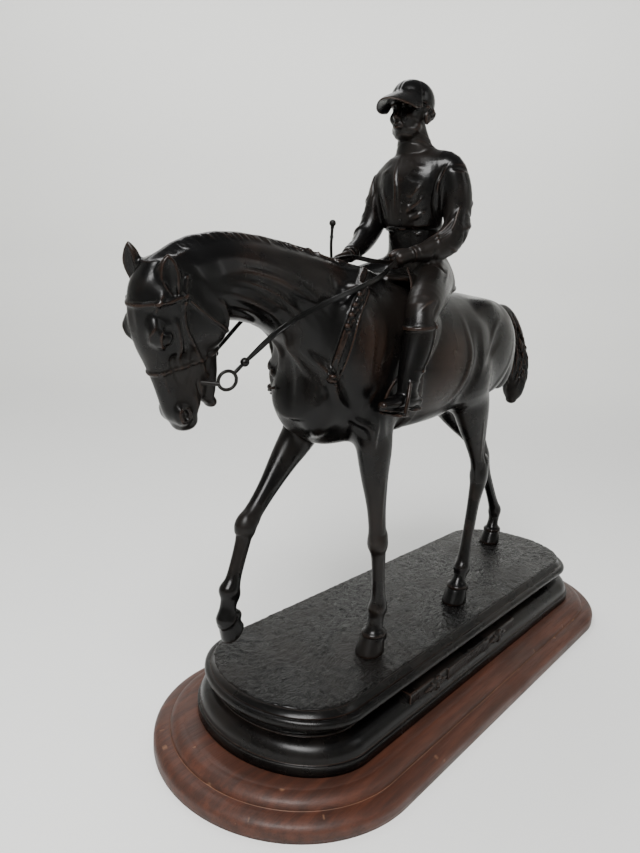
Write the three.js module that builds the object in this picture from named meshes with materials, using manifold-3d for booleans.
// Equestrian statuette: a jockey on a walking racehorse, in dark bronze.
// The group stands on a moulded bronze base with a turf top, and the base on a stepped wooden plinth.
// Millimetres, +Z up. The horse faces -X, its left side is at -Y, and the origin is the middle of the
// plinth's underside.
import * as THREE from "three";
import { mergeVertices } from "three/addons/utils/BufferGeometryUtils.js";
import Module from "manifold-3d";

const wasm = await Module();
wasm.setup();

// Driving dimensions of the plinth and the base
const PLINTH_LENGTH = 500;
const PLINTH_WIDTH = 197;
const PLINTH_HEIGHT = 18.8;
const PLINTH_END_DEPTH = 93; // how far a rounded end reaches beyond the straight sides
const BASE_FOOT_LENGTH = 434;
const BASE_FOOT_WIDTH = 142;
const BASE_HEIGHT = 39;
const BASE_END_DEPTH = 55;
const BASE_END_SHARE = 0.75; // how much of a moulding's inset is kept at the very ends
const TURF_INSET = 13; // how far the turf's edge stands back from the foot
const SEAT_GAP = 0.3; // between touching pieces
const END_STEPS = 8; // facets around each rounded end

// Title tablets on the base's long sides: a bar with a raised panel and a boss at either side of it
const TABLET_LENGTH = 162;
const TABLET_HEIGHT = 10;
const TABLET_CENTRE = -29;
const TABLET_SHARE = 0.36; // height of its middle within the base
const TABLET_FACE = 68; // from the base's middle line
const TABLET_DEPTH = 12;
const PANEL_LENGTH = 65;
const PANEL_PROUD = 0.8;
const BOSS_DIAMETER = 16;
const BOSS_PLACE = 49; // either side of the panel's middle

// The figure is drawn in parts of the horse's own height at the withers
const WITHERS_HEIGHT = 270.5;
const DRAWN_WITHERS = 270.5;
const PART = WITHERS_HEIGHT / DRAWN_WITHERS;
const REIN_WIDTH = 3.2;
const REIN_THICKNESS = 1.3;
const WHIP_DIAMETER = 2;
const WHIP_KNOB = 4.6;

const TURF_LEVEL = PLINTH_HEIGHT + SEAT_GAP + BASE_HEIGHT;
const FIGURE_LEVEL = TURF_LEVEL + SEAT_GAP;

const bronze = (tint) =>
  new THREE.MeshStandardMaterial({ color: tint, roughness: 0.36, metalness: 0.85 });
const wood = () => new THREE.MeshStandardMaterial({ color: 0x4a2114, roughness: 0.45, metalness: 0 });

// A point of the figure, from its drawing, in millimetres above the turf
const at = (x, y, z) => new THREE.Vector3(x * PART, y * PART, FIGURE_LEVEL + z * PART);
const size = (value) => value * PART;

// Closed solids from rings of points, and their joining

function solidFromRings(rings) {
  const count = rings[0].length;
  const positions = [];
  const indices = [];
  for (const ring of rings) {
    for (const p of ring) {
      positions.push(p.x, p.y, p.z);
    }
  }
  for (let r = 0; r < rings.length - 1; r++) {
    for (let i = 0; i < count; i++) {
      const a = r * count + i;
      const b = r * count + ((i + 1) % count);
      indices.push(a, b, b + count, a, b + count, a + count);
    }
  }
  const addCap = (ring, base, flip) => {
    const middle = new THREE.Vector3();
    ring.forEach((p) => middle.add(p));
    middle.divideScalar(count);
    const centre = positions.length / 3;
    positions.push(middle.x, middle.y, middle.z);
    for (let i = 0; i < count; i++) {
      const a = base + i;
      const b = base + ((i + 1) % count);
      indices.push(centre, flip ? b : a, flip ? a : b);
    }
  };
  addCap(rings[0], 0, true);
  addCap(rings[rings.length - 1], (rings.length - 1) * count, false);
  const geometry = new THREE.BufferGeometry();
  geometry.setAttribute("position", new THREE.Float32BufferAttribute(positions, 3));
  geometry.setIndex(indices);
  return geometry;
}

function toManifold(geometry) {
  const bare = geometry.clone();
  bare.deleteAttribute("normal");
  bare.deleteAttribute("uv");
  const merged = mergeVertices(bare, 1e-4);
  const solid = new wasm.Manifold(
    new wasm.Mesh({
      numProp: 3,
      vertProperties: new Float32Array(merged.attributes.position.array),
      triVerts: new Uint32Array(merged.index.array),
    }),
  );
  if (solid.volume() > 0) {
    return solid;
  }
  const turned = new Uint32Array(merged.index.array);
  for (let i = 0; i < turned.length; i += 3) {
    [turned[i + 1], turned[i + 2]] = [turned[i + 2], turned[i + 1]];
  }
  return new wasm.Manifold(
    new wasm.Mesh({
      numProp: 3,
      vertProperties: new Float32Array(merged.attributes.position.array),
      triVerts: turned,
    }),
  );
}

const joined = (solids) => solids.reduce((whole, solid) => whole.add(solid));

function toGeometry(solid) {
  const mesh = solid.getMesh();
  const geometry = new THREE.BufferGeometry();
  const positions = [];
  for (let i = 0; i < mesh.numVert; i++) {
    positions.push(...mesh.vertProperties.slice(i * mesh.numProp, i * mesh.numProp + 3));
  }
  geometry.setAttribute("position", new THREE.Float32BufferAttribute(positions, 3));
  geometry.setIndex(Array.from(mesh.triVerts));
  return geometry;
}

function namedMesh(name, solid, material) {
  const flat = toGeometry(solid).toNonIndexed();
  flat.computeVertexNormals();
  const mesh = new THREE.Mesh(flat, material);
  mesh.name = name;
  return mesh;
}

// A limb, neck or trunk: oval sections [point, half across, half along] threaded on their points.
// "across" follows the given side direction, "along" is square to it and to the run of the points.
function limb(sections, sides = 10, side = new THREE.Vector3(0, 1, 0), square = 2) {
  const rings = sections.map(([centre, across, along], i) => {
    const before = sections[Math.max(i - 1, 0)][0];
    const after = sections[Math.min(i + 1, sections.length - 1)][0];
    const run = after.clone().sub(before).normalize();
    const lateral = side.clone().addScaledVector(run, -side.dot(run)).normalize();
    const other = new THREE.Vector3().crossVectors(run, lateral);
    return Array.from({ length: sides }, (_, k) => {
      const turn = (2 * Math.PI * (k + 0.5)) / sides;
      const c = Math.cos(turn);
      const s = Math.sin(turn);
      const round = (v) => Math.sign(v) * Math.abs(v) ** (2 / square);
      return centre
        .clone()
        .addScaledVector(lateral, size(across) * round(c))
        .addScaledVector(other, size(along) * round(s));
    });
  });
  return toManifold(solidFromRings(rings));
}

// A trunk, neck or head from spans [one edge point, opposite edge point, half across]
function hide(spans, sides, square = 2) {
  const rings = spans.map(([edge, opposite, across]) => {
    const middle = edge.clone().add(opposite).multiplyScalar(0.5);
    const reach = edge.clone().sub(middle);
    const round = (v) => Math.sign(v) * Math.abs(v) ** (2 / square);
    return Array.from({ length: sides }, (_, k) => {
      const turn = (2 * Math.PI * (k + 0.5)) / sides;
      return middle
        .clone()
        .addScaledVector(reach, round(Math.sin(turn)))
        .add(new THREE.Vector3(0, size(across) * round(Math.cos(turn)), 0));
    });
  });
  return toManifold(solidFromRings(rings));
}

// Bones with a named profile: each entry gives share along the bone, half across, half along, set back
function bone(from, to, profile, forward) {
  return profile.map(([share, across, along, back]) => [
    from.clone().lerp(to, share).addScaledVector(forward, -size(back)),
    across,
    along,
  ]);
}

function ball(centre, rx, ry, rz, lean = 0, facets = 10) {
  const geometry = new THREE.SphereGeometry(1, facets, Math.round(facets * 0.6));
  geometry.scale(size(rx), size(ry), size(rz));
  geometry.rotateY(lean);
  geometry.translate(centre.x, centre.y, centre.z);
  return toManifold(geometry);
}

// A flat strap along points, lying on a surface that faces the given direction
function strap(points, facing, width, thick) {
  const rings = points.map((point, i) => {
    const before = points[Math.max(i - 1, 0)];
    const after = points[Math.min(i + 1, points.length - 1)];
    const run = after.clone().sub(before).normalize();
    const out = facing[Math.min(i, facing.length - 1)].clone();
    out.addScaledVector(run, -out.dot(run)).normalize();
    const wide = new THREE.Vector3().crossVectors(run, out);
    return [
      [-0.5, -0.5],
      [0.5, -0.5],
      [0.5, 0.5],
      [-0.5, 0.5],
    ].map(([w, t]) => point.clone().addScaledVector(wide, w * width).addScaledVector(out, t * thick));
  });
  return toManifold(solidFromRings(rings));
}

// Plinth and base: an outline of straight sides and rounded ends, swept down a moulded profile

function ovalOutline(length, width, endDepth, inset, level, endShare) {
  const halfStraight = length / 2 - endDepth;
  const points = [];
  for (const end of [1, -1]) {
    for (let i = 0; i <= END_STEPS; i++) {
      const turn = -Math.PI / 2 + (Math.PI * i) / END_STEPS;
      const x = halfStraight + (endDepth - inset * endShare) * Math.cos(turn);
      const y = (width / 2 - inset) * Math.sin(turn);
      points.push(new THREE.Vector3(end * x, end * y, level));
    }
  }
  return points;
}

function mouldedOval(length, width, endDepth, profile, endShare = 1) {
  const rings = profile.map(([inset, level]) => ovalOutline(length, width, endDepth, inset, level, endShare));
  return toManifold(solidFromRings(rings));
}

// An arc of profile points between two [inset, level] corners, bulging out (1) or hollow (-1)
function profileArc(from, to, bulge, steps = 2) {
  return Array.from({ length: steps }, (_, i) => {
    const turn = ((i + 1) / (steps + 1)) * (Math.PI / 2);
    const share = bulge > 0 ? [1 - Math.cos(turn), Math.sin(turn)] : [Math.sin(turn), 1 - Math.cos(turn)];
    return [from[0] + (to[0] - from[0]) * share[0], from[1] + (to[1] - from[1]) * share[1]];
  });
}

function makePlinth() {
  const foot = PLINTH_HEIGHT * 0.3;
  const firstStep = PLINTH_HEIGHT * 0.62;
  const lip = PLINTH_HEIGHT * 0.97;
  const profile = [
    [0, 0],
    [0, foot],
    ...profileArc([0, foot], [9, firstStep], 1),
    [9, firstStep],
    [11, firstStep],
    ...profileArc([11, firstStep], [20, lip], 1),
    [20, lip],
    [21.5, PLINTH_HEIGHT],
  ];
  return mouldedOval(PLINTH_LENGTH, PLINTH_WIDTH, PLINTH_END_DEPTH, profile);
}

function makeBase() {
  const bottom = PLINTH_HEIGHT + SEAT_GAP;
  const level = (share) => bottom + BASE_HEIGHT * share;
  const profile = [
    [0, level(0)],
    [0, level(0.17)],
    [1.8, level(0.185)],
    ...profileArc([1.8, level(0.19)], [12.5, level(0.47)], 1),
    [12.5, level(0.47)],
    [14, level(0.5)],
    [17.5, level(0.63)],
    [9.5, level(0.68)],
    [5.4, level(0.73)],
    [5.4, level(0.81)],
    [9, level(0.86)],
    [TURF_INSET - 0.6, level(0.92)],
    [TURF_INSET, TURF_LEVEL],
  ];
  const body = mouldedOval(BASE_FOOT_LENGTH, BASE_FOOT_WIDTH, BASE_END_DEPTH, profile, BASE_END_SHARE);
  const pieces = [body];
  const middle = level(TABLET_SHARE);
  for (const end of [-1, 1]) {
    const tablet = new THREE.BoxGeometry(TABLET_LENGTH, TABLET_DEPTH, TABLET_HEIGHT);
    tablet.translate(TABLET_CENTRE, end * (TABLET_FACE - TABLET_DEPTH / 2), middle);
    const panel = new THREE.BoxGeometry(PANEL_LENGTH, TABLET_DEPTH, TABLET_HEIGHT * 0.6);
    panel.translate(TABLET_CENTRE, end * (TABLET_FACE + PANEL_PROUD - TABLET_DEPTH / 2), middle);
    pieces.push(toManifold(tablet), toManifold(panel));
    for (const hand of [-1, 1]) {
      const boss = new THREE.SphereGeometry(BOSS_DIAMETER / 2, 8, 4);
      boss.scale(1, 0.3, 0.7);
      boss.translate(TABLET_CENTRE + hand * BOSS_PLACE, end * (TABLET_FACE - 0.6), middle);
      pieces.push(toManifold(boss));
    }
  }
  return joined(pieces);
}

// Horse: trunk, neck, head and tail. Stations are [x, top, bottom, half width]

const TRUNK = [
  [-165, 206, 178, 7],
  [-160, 226, 162, 19],
  [-149, 246, 153, 28],
  [-136, 260, 151, 35],
  [-119, 269, 152, 38.5],
  [-92, 262, 154, 42],
  [-62, 258, 155, 45],
  [-30, 257, 158, 45],
  [-2, 258, 165, 43],
  [28, 257, 176, 39],
  [58, 254, 187, 34],
  [84, 247, 196, 25],
  [100, 240, 206, 15],
  [108, 231, 214, 7],
];

// The neck's crest and under line, pair by pair, with its half width
const NECK = [
  [-124, 266, -170, 172, 28],
  [-143, 270, -170, 192, 26],
  [-164, 273, -174, 209, 22],
  [-186, 275, -185, 221, 19],
  [-208, 276, -200, 228, 17.5],
  [-229, 275, -214, 231, 15.5],
  [-248, 270.5, -226, 232, 14],
  [-261, 263, -236, 236, 13],
];

function makeTrunk() {
  const spans = TRUNK.map(([x, top, bottom, wide]) => [at(x, 0, top), at(x, 0, bottom), wide]);
  return hide(spans, 12, 2.3);
}

function makeNeck() {
  return hide(NECK.map(([xa, za, xb, zb, wide]) => [at(xa, 0, za), at(xb, 0, zb), wide]), 10);
}

// The head hangs from the poll. Its stations are [down, forward edge, rear edge, half width],
// measured along and square to the head's own line
const POLL = at(-264, 0, 262);
const HEAD_DOWN = new THREE.Vector3(0.33, 0.1, -0.939).normalize();
const HEAD_FRONT = new THREE.Vector3(-0.944, 0.04, -0.328).normalize();
const HEAD_SIDE = new THREE.Vector3().crossVectors(HEAD_DOWN, HEAD_FRONT).normalize();

const onHead = (down, front, side = 0) =>
  POLL.clone()
    .addScaledVector(HEAD_DOWN, size(down))
    .addScaledVector(HEAD_FRONT, size(front))
    .addScaledVector(HEAD_SIDE, size(side));

const HEAD = [
  [-1, 13, -12, 9],
  [8, 22, -19, 13.5],
  [19, 26, -23, 15.5],
  [30, 27, -25, 17],
  [40, 26.5, -25, 16.5],
  [48, 25, -22, 12.5],
  [56, 23.5, -14, 9.6],
  [64, 22.5, -5, 8.6],
  [72, 22, -1, 8.6],
  [80, 21, 2, 8.8],
  [86, 17, 4, 7.6],
  [89, 13, 7, 4.6],
];

// Each ear's root, belly and tip: the near one is turned a little back
const EARS = [
  [
    [15, 7, -10.5],
    [6, 8, -11.5],
    [-3.5, 6.4, -11.5],
  ],
  [
    [14, 9, 10],
    [2, 12.5, 10.5],
    [-9.5, 13, 10],
  ],
];

function makeHead() {
  const spans = HEAD.map(([down, front, rear, wide]) => [onHead(down, front), onHead(down, rear), wide]);
  const lowerLip = limb(
    [
      [onHead(56, -8), 7, 7],
      [onHead(70, -8.5), 6.5, 5],
      [onHead(84, -8), 4.5, 3],
    ],
    6,
  );
  const pieces = [hide(spans, 12), lowerLip];
  for (const [root, belly, tip] of EARS) {
    const earBelly = onHead(...belly);
    const earTip = onHead(...tip);
    pieces.push(
      limb(
        [
          [onHead(...root), 4.6, 4.6],
          [earBelly, 5.2, 4],
          [earBelly.clone().lerp(earTip, 0.6), 3.6, 2.6],
          [earTip, 0.8, 0.8],
        ],
        6,
      ),
    );
  }
  for (const hand of [-1, 1]) {
    pieces.push(
      ball(onHead(37, 20, hand * 10.5), 5, 3.6, 4.4, 0, 6),
      ball(onHead(80, 17, hand * 6), 3, 3, 4, 0, 5),
      ball(onHead(36, -12, hand * 9), 12, 6.5, 13, 0.3, 6),
    );
  }
  return pieces;
}

function makeMane() {
  const crest = [
    [-270, 262],
    [-259, 268.5],
    [-247, 274],
    [-228, 278.5],
    [-208, 279],
    [-188, 278],
    [-168, 276],
    [-148, 273],
    [-128, 271],
  ];
  const sections = crest.map(([x, z], i) => [at(x, 0, z - 4), 3.6, i % 2 ? 4.6 : 4]);
  return limb(sections, 6);
}

function makeTail() {
  const run = [
    [at(94, 0, 243), 7, 7],
    [at(110, 0, 244), 7, 7],
    [at(125, 0, 236), 8.5, 8],
    [at(137, 0, 221), 9.5, 8],
    [at(143, 0, 200), 10, 8],
    [at(145, 0, 176), 10, 7.5],
    [at(141, 0, 152), 8.5, 6],
  ];
  return limb(run, 8);
}

// Legs. Joints are drawn points; every bone has a profile of shares along it

const FOREARM = [
  [-0.3, 11, 19, 3],
  [0, 10.4, 15.6, 1.6],
  [0.35, 8, 10.8, 0],
  [0.78, 6, 6.8, 0],
  [0.93, 7.2, 7.4, -0.6],
  [1.04, 7.4, 7.4, -0.6],
];
const CANNON = [
  [0.12, 5.9, 6, 0.5],
  [0.3, 4, 4.8, 0.6],
  [0.72, 3.9, 4.7, 0.6],
  [0.9, 5.1, 5.6, 0.8],
  [1.0, 5.8, 6.4, 1.2],
];
const PASTERN = [
  [0.3, 4.8, 5.4, 0.6],
  [0.62, 4.5, 4.8, 0],
  [1, 6.4, 7, -0.6],
];
const GASKIN = [
  [-0.06, 14, 26, 1],
  [0.25, 12.4, 21.4, 2],
  [0.62, 7.8, 12, 1.4],
  [0.82, 6, 9, 1.4],
  [0.96, 6.8, 9.6, 2.2],
];
const HIND_CANNON = [
  [0.06, 6.8, 9.2, 3],
  [0.2, 5.8, 7.2, 1.6],
  [0.36, 4.4, 5.4, 0.6],
  [0.76, 4.2, 5, 0.6],
  [0.92, 5.4, 6, 0.8],
  [1.0, 6, 6.8, 1.2],
];
const HOOF_HEIGHT = 13;
const HOOF_HALF_LENGTH = 10.8;
const HOOF_HALF_WIDTH = 9.4;
const HOOF_SIDES = 8;
const HOOF_WEDGE = 4.2; // how far the toe's foot stands ahead of its top
const LIFTED_HOOF_SCALE = 0.84;
const LIFTED_HOOF_ANGLE = 31; // how far the raised hoof's toe points down, in degrees

// A flat-soled hoof below a coronet. "toe" points along the sole towards the toe
function hoof(coronet, toe, down, scale) {
  const side = new THREE.Vector3().crossVectors(toe, down).normalize();
  const levels = [
    [0.2, 0.68, 0.64, -0.6],
    [0, 0.82, 0.84, -0.2],
    [-1, 1, 1, HOOF_WEDGE],
  ];
  const rings = levels.map(([rise, along, across, shift]) =>
    Array.from({ length: HOOF_SIDES }, (_, k) => {
      const turn = (2 * Math.PI * k) / HOOF_SIDES;
      const reach = Math.cos(turn);
      return coronet
        .clone()
        .addScaledVector(down, -size(HOOF_HEIGHT) * rise * scale)
        .addScaledVector(toe, size(HOOF_HALF_LENGTH * along * Math.max(reach, -0.72) + shift) * scale)
        .addScaledVector(side, size(HOOF_HALF_WIDTH * across) * Math.sin(turn) * scale);
    }),
  );
  return toManifold(solidFromRings(rings));
}

function leg(points, upper, lower, soleDown = new THREE.Vector3(0, 0, -1), hoofScale = 1) {
  const { top, middle, fetlock, coronet, toe } = points;
  const forward = (a, b) => {
    const run = b.clone().sub(a).normalize();
    return new THREE.Vector3(-1, 0, 0).addScaledVector(run, run.x).normalize();
  };
  const sections = [
    ...bone(top, middle, upper, forward(top, middle)),
    ...bone(middle, fetlock, lower, forward(middle, fetlock)),
    ...bone(fetlock, coronet, PASTERN, forward(fetlock, coronet)),
  ];
  return [limb(sections, 8), hoof(coronet, toe, soleDown, hoofScale)];
}

function makeLegs() {
  const flatToe = new THREE.Vector3(-1, 0, 0);
  const lift = THREE.MathUtils.degToRad(LIFTED_HOOF_ANGLE);
  const liftedToe = new THREE.Vector3(-Math.cos(lift), 0, -Math.sin(lift));
  const liftedSole = new THREE.Vector3(Math.sin(lift), 0, -Math.cos(lift));
  const nearFore = leg(
    {
      top: at(-118, -27, 156),
      middle: at(-110, -31, 83),
      fetlock: at(-105, -31, 32),
      coronet: at(-108, -31, HOOF_HEIGHT),
      toe: flatToe,
    },
    FOREARM,
    CANNON,
  );
  const offFore = leg(
    {
      top: at(-130, 26, 158),
      middle: at(-184, 23, 98),
      fetlock: at(-201, 21, 59),
      coronet: at(-204, 20, 43),
      toe: liftedToe,
    },
    FOREARM,
    CANNON,
    liftedSole,
    LIFTED_HOOF_SCALE,
  );
  const nearHind = leg(
    {
      top: at(2, -29, 186),
      middle: at(31, -31, 110),
      fetlock: at(15, -32, 28),
      coronet: at(10, -32, HOOF_HEIGHT),
      toe: flatToe,
    },
    GASKIN,
    HIND_CANNON,
  );
  const offHind = leg(
    {
      top: at(57, 26, 173),
      middle: at(133, 20, 102),
      fetlock: at(172, 16, 33),
      coronet: at(168, 15, HOOF_HEIGHT),
      toe: flatToe,
    },
    GASKIN,
    HIND_CANNON,
  );
  const masses = [];
  for (const hand of [-1, 1]) {
    const shoulderShift = hand < 0 ? 0 : -6;
    const hipPoint = hand < 0 ? at(42, hand * 20, 212) : at(58, hand * 19, 210);
    masses.push(
      ball(at(-130 + shoulderShift, hand * 25, 205), 25, 12, 50, -0.32, 8),
      ball(at(-147 + shoulderShift, hand * 15, 182), 15, 13, 18, 0, 6),
      ball(at(-116 + shoulderShift, hand * 27, 182), 18, 12, 26, 0.5, 6),
      ball(hipPoint, 38, 19, 40, 0.2, 8),
      ball(at(86, hand * 13.5, 206), 17, 12, 32, 0, 6),
    );
  }
  masses.push(
    limb(
      [
        [at(-10, -31, 232), 8, 12],
        [at(-10, -33, 205), 10, 17],
        [at(-5, -32, 184), 12, 19],
      ],
      8,
    ),
    limb(
      [
        [at(20, 22, 222), 12, 22],
        [at(45, 25, 195), 14, 30],
        [at(66, 25, 172), 13, 27],
      ],
      8,
    ),
  );
  return [...nearFore, ...offFore, ...nearHind, ...offHind, ...masses];
}

// Rider: drawn in the same parts, above the turf

// Torso levels: [middle x, height, half wide, half deep]
const TORSO = [
  [-30, 254, 20, 20],
  [-38, 264, 26, 21],
  [-42, 278, 22.5, 18],
  [-45, 290, 20, 16],
  [-47, 299.5, 19.5, 15.5],
  [-48, 302, 23.5, 19.5],
  [-50, 309, 23, 19],
  [-51, 319, 25, 19.5],
  [-52, 332, 27, 18.5],
  [-52, 343, 25.5, 14.5],
  [-52, 350, 18, 12],
  [-54, 355, 11.5, 10.5],
  [-55.5, 360, 10.4, 10.6],
  [-58, 367, 8.6, 9],
];

function makeTorso() {
  return [limb(TORSO.map(([x, z, wide, deep]) => [at(x, 0, z), wide, deep]), 10)];
}

function makeRiderHead() {
  const head = limb(
    [
      [at(-68, 0, 358.5), 4.5, 4],
      [at(-66, 0, 362), 8, 9],
      [at(-64.5, 0, 368), 10.4, 12.4],
      [at(-62, 0, 376), 12, 14.5],
      [at(-60, 0, 384), 12.4, 15],
    ],
    10,
  );
  const nose = limb(
    [
      [at(-75.5, 0, 378), 1.8, 1.6],
      [at(-77.5, 0, 372), 2.6, 2.8],
      [at(-74, 0, 369), 1.8, 2],
    ],
    6,
  );
  const dome = [
    [0, 1.0],
    [5, 1.0],
    [9.5, 0.9],
    [12.6, 0.66],
    [14, 0.3],
  ].map(([rise, share]) => [at(-59.5 + rise * 0.12, 0, 382 + rise * 1.04), 14.4 * share, 17 * share]);
  // The peak arches over the brow. Its stations are [x, |y|, z, half its depth from brow to edge]
  const arch = [
    [-69, 13.2, 379, 4],
    [-78, 10.5, 380, 9],
    [-82.5, 5.5, 382, 12],
    [-84.5, 0, 382.8, 13.5],
  ];
  const nearArch = arch.map(([x, y, z, deep]) => [at(x, -y, z), deep, 1.4]);
  const farArch = arch.slice(0, -1).map(([x, y, z, deep]) => [at(x, y, z), deep, 1.4]);
  const peak = limb([...nearArch, ...farArch.reverse()], 6, new THREE.Vector3(-0.9, 0, -0.43));
  const pieces = [head, nose, limb(dome, 10), peak];
  for (const hand of [-1, 1]) {
    pieces.push(ball(at(-58.5, hand * 12, 373), 2.6, 1.8, 4.4, 0, 6));
  }
  return pieces;
}

// Sleeves and hands: the left holds the reins, the right the whip
const NEAR_ARM = [
  [-50, -13, 344, 9, 9],
  [-46, -25, 340, 10.5, 11],
  [-43, -31, 326, 9.8, 11.5],
  [-42, -32.4, 311, 9, 11.5],
  [-45, -33.4, 298, 8.6, 11],
  [-54, -31, 288, 8.6, 9.4],
  [-65, -27, 283, 7.6, 7.6],
  [-75, -23, 280, 6, 5.8],
  [-80, -20, 278, 4.4, 4.4],
  [-86, -16, 276, 5.4, 5.4],
  [-92, -13, 274, 4.8, 4.8],
];
const FAR_ARM = [
  [-52, 14, 338, 9, 9],
  [-52, 24, 333, 10, 10.5],
  [-54, 28, 319, 8.8, 10.5],
  [-57, 30, 305, 8.2, 10],
  [-63, 31, 295, 8, 9],
  [-73, 29, 287, 7, 7.4],
  [-86, 26.5, 280, 5.6, 5.6],
  [-96, 25, 275, 4.4, 4.4],
  [-104, 24.5, 271.5, 5.4, 5.4],
  [-112, 24, 267, 4.6, 4.6],
];

function makeArms() {
  return [NEAR_ARM, FAR_ARM].map((arm) => limb(arm.map(([x, y, z, a, b]) => [at(x, y, z), a, b]), 8));
}

function makeRiderLegs() {
  const pieces = [];
  for (const hand of [-1, 1]) {
    const thigh = [
      [at(-38, hand * 12, 268), 15, 17],
      [at(-56, hand * 25, 261), 14.5, 16.5],
      [at(-78, hand * 37, 253), 13, 14.5],
      [at(-97, hand * 45.5, 245), 11.5, 12],
      [at(-105, hand * 48.5, 236), 9.5, 10],
    ];
    const boot = [
      [at(-104, hand * 48, 241), 9.2, 10],
      [at(-106, hand * 49.5, 232), 9.8, 10.6],
      [at(-109.5, hand * 50, 218), 9, 10],
      [at(-115, hand * 50.5, 203), 7.4, 8.4],
      [at(-117.5, hand * 51, 193), 6.4, 7.4],
      [at(-117, hand * 51, 186), 6.4, 7.4],
    ];
    const foot = [
      [at(-107, hand * 52, 184.5), 5.2, 4.6],
      [at(-114, hand * 51, 186), 6.4, 6.2],
      [at(-124, hand * 50, 185), 6.4, 5.2],
      [at(-133, hand * 49.3, 183.8), 6, 4.2],
      [at(-140, hand * 49, 183.4), 3.4, 2.6],
    ];
    const tread = [
      [at(-133, hand * 49.3, 179), 12, 2.2],
      [at(-123, hand * 49.8, 178.5), 12, 2.2],
    ];
    pieces.push(limb(thigh, 8), limb(boot, 8), limb(foot, 6), limb(tread, 4));
    for (const offset of [-8, 8]) {
      const arm = [
        [at(-128, hand * 49.5 + offset, 178), 1.9, 2.6],
        [at(-125, hand * 49.5 + offset * 0.95, 190), 1.9, 2.4],
        [at(-116, hand * 50, 205), 2.2, 3],
      ];
      pieces.push(limb(arm, 4));
    }
  }
  return pieces;
}

function makeSaddle() {
  const pieces = [];
  const seat = limb(
    [
      [at(-90, 0, 262), 13, 4],
      [at(-76, 0, 262), 22, 4.5],
      [at(-50, 0, 258), 26, 5],
      [at(-24, 0, 258), 25, 5],
      [at(-10, 0, 261), 18, 4],
      [at(-4, 0, 262), 10, 3],
    ],
    10,
  );
  pieces.push(seat);
  for (const hand of [-1, 1]) {
    const flap = [
      [at(-64, hand * 24, 257), 2.4, 25],
      [at(-72, hand * 36, 244), 2.4, 27],
      [at(-77, hand * 42, 226), 2.4, 26],
      [at(-79, hand * 43.5, 208), 2.4, 22],
      [at(-79, hand * 43, 199), 2.4, 14],
    ];
    pieces.push(limb(flap, 8, new THREE.Vector3(0, hand, 0.15)));
  }
  return pieces;
}

// Bridle, bit rings and breast strap, raised on the horse

const bandAround = (steps, arc, middle, deep, wide) =>
  Array.from({ length: steps }, (_, i) => {
    const turn = arc * (i / (steps - 1) - 0.5);
    return {
      point: onHead(middle[0], middle[1] + deep * Math.cos(turn), wide * Math.sin(turn)),
      facing: HEAD_FRONT.clone()
        .multiplyScalar(Math.cos(turn))
        .addScaledVector(HEAD_SIDE, Math.sin(turn)),
    };
  });

const BIT_CENTRE = [70, -13];
const BIT_RADIUS = 5.4;
const BIT_WIRE = 1;
const bitPoint = (hand, down = 0, front = 0) =>
  onHead(BIT_CENTRE[0] + down, BIT_CENTRE[1] + front, hand * 13.5);
const reinAnchor = (hand) => bitPoint(hand, -5.5, -14);

// A ring at the corner of the mouth, the mouthpiece into it and the arm that the rein is fixed to
function makeBit(hand) {
  const out = HEAD_SIDE.clone().multiplyScalar(hand).addScaledVector(HEAD_FRONT, 0.3).normalize();
  const rearward = new THREE.Vector3().crossVectors(out, HEAD_DOWN).normalize();
  const ring = new THREE.TorusGeometry(size(BIT_RADIUS), size(BIT_WIRE), 4, 9);
  const upright = new THREE.Vector3().crossVectors(rearward, out);
  ring.applyMatrix4(new THREE.Matrix4().makeBasis(rearward, upright.negate(), out.clone().negate()));
  const centre = bitPoint(hand);
  ring.translate(centre.x, centre.y, centre.z);
  const anchor = reinAnchor(hand);
  const towardsRein = anchor.clone().sub(centre).normalize();
  const arm = [
    [centre.clone().addScaledVector(towardsRein, size(BIT_RADIUS - 0.4)), BIT_WIRE, BIT_WIRE],
    [centre.clone().addScaledVector(towardsRein, size(BIT_RADIUS + 3.5)), BIT_WIRE, BIT_WIRE],
    [anchor, BIT_WIRE, BIT_WIRE],
  ];
  const mouthpiece = [
    [onHead(66, 5, hand * 3), 1.5, 1.5],
    [centre.clone().addScaledVector(HEAD_FRONT, size(BIT_RADIUS)), 1.2, 1.2],
  ];
  return [
    toManifold(ring),
    limb(arm, 4),
    limb(mouthpiece, 4, new THREE.Vector3(0, 0, 1)),
    ball(anchor, 2.6, 2.6, 2.6, 0, 5),
  ];
}

function makeTack() {
  const pieces = [];
  for (const hand of [-1, 1]) {
    const out = HEAD_SIDE.clone().multiplyScalar(hand);
    const cheek = [
      onHead(20, 0, hand * 15.6),
      onHead(31, 0, hand * 17),
      onHead(44, 0, hand * 14.8),
      onHead(66, 2, hand * 9.4),
    ];
    const throat = [onHead(20, -6, hand * 15.6), onHead(34, -14, hand * 15.5), onHead(46, -25, hand * 9)];
    pieces.push(strap(cheek, [out], size(3), size(2.4)), strap(throat, [out], size(2.6), size(2.4)));
    pieces.push(...makeBit(hand));
    const breast = [
      [-121, 14, 266],
      [-133, 20, 258],
      [-145, 29, 246],
      [-153, 30, 233],
      [-157, 27, 219],
      [-161, 23, 199],
    ].map(([x, y, z]) => at(x, hand * y, z));
    pieces.push(strap(breast, [new THREE.Vector3(-0.45, hand, 0.2)], size(5), size(3.4)));
  }
  for (const band of [bandAround(6, Math.PI, [18.5, 4], 22.5, 16), bandAround(8, 5.6, [54, 5], 20, 11)]) {
    const points = band.map(({ point }) => point);
    const facing = band.map(({ facing: face }) => face);
    pieces.push(strap(points, facing, size(3), size(2.4)));
  }
  return pieces;
}

// Reins and whip: thin parts of their own, each seated in a channel that is wider by the clearance

const RIGHT_FIST = at(-111, 24, 267.5);

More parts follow.
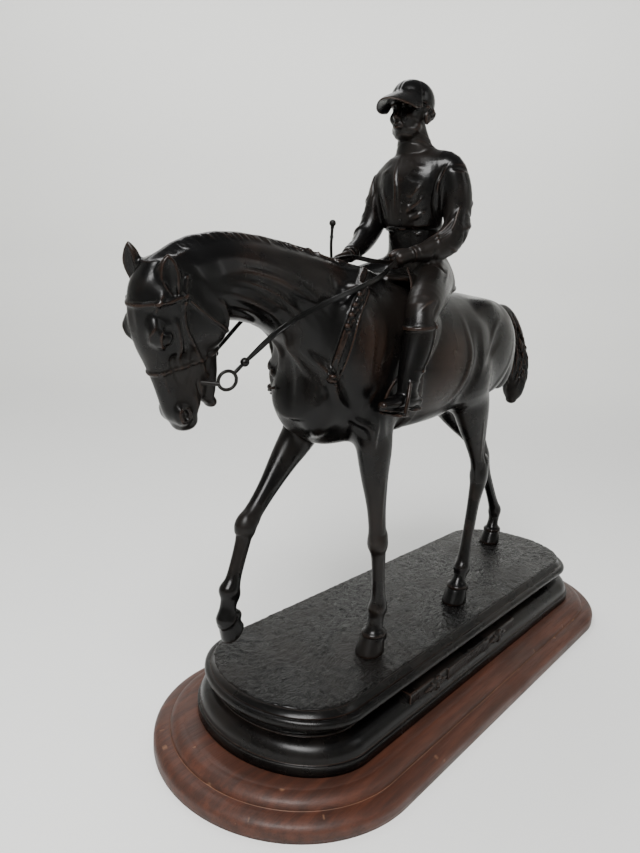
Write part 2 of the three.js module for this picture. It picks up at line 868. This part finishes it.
const leftReinRun = () => [
  at(-86, -16, 275.5),
  at(-98, -18, 269.5),
  at(-122, -26.5, 261),
  at(-148, -30.5, 253),
  at(-176, -28.5, 242.5),
  at(-202, -22, 229),
  reinAnchor(-1),
];
const rightReinRun = () => [
  at(-86, -14, 273),
  at(-100, -6, 273),
  at(-116, 4, 274.5),
  at(-130, 17, 269),
  at(-146, 27.5, 258),
  at(-166, 29, 246),
  at(-190, 25, 231),
  reinAnchor(1),
];
const whipRun = () => [
  at(-119, 17, 296.5),
  at(-116, 20, 283),
  RIGHT_FIST,
  at(-105, 37, 234),
  at(-98, 50, 198),
];

const smooth = (points, steps) => new THREE.CatmullRomCurve3(points, false, "centripetal").getPoints(steps);
const reinFacing = (points, hand) => points.map(() => new THREE.Vector3(-0.25, hand, 0.35));

function makeRein(run, hand, spare = 0) {
  const points = smooth(run, 14);
  return strap(points, reinFacing(points, hand), REIN_WIDTH + spare * 2, REIN_THICKNESS + spare * 2);
}

function makeWhip(spare = 0) {
  const points = smooth(whipRun(), 7);
  const half = (WHIP_DIAMETER / 2 + spare) / PART;
  const rod = limb(points.map((p) => [p, half, half]), 6);
  const knobHalf = (WHIP_KNOB / 2 + spare) / PART;
  return rod.add(ball(points[0], knobHalf, knobHalf, knobHalf, 0, 7));
}

function makeFigure() {
  const figure = joined([
    makeTrunk(),
    makeNeck(),
    ...makeHead(),
    makeMane(),
    makeTail(),
    ...makeLegs(),
    ...makeSaddle(),
    ...makeTorso(),
    ...makeRiderHead(),
    ...makeArms(),
    ...makeRiderLegs(),
    ...makeTack(),
  ]);
  return figure
    .subtract(makeRein(leftReinRun(), -1, SEAT_GAP))
    .subtract(makeRein(rightReinRun(), 1, SEAT_GAP))
    .subtract(makeWhip(SEAT_GAP));
}

const group = new THREE.Group();
group.add(namedMesh("wooden_plinth", makePlinth(), wood()));
group.add(namedMesh("cast_base", makeBase(), bronze(0x1c1714)));
group.add(namedMesh("horse_and_rider", makeFigure(), bronze(0x1a1613)));
group.add(namedMesh("left_rein", makeRein(leftReinRun(), -1), bronze(0x221c16)));
group.add(namedMesh("right_rein", makeRein(rightReinRun(), 1), bronze(0x221c16)));
group.add(namedMesh("whip", makeWhip(), bronze(0x221c16)));

export default group;
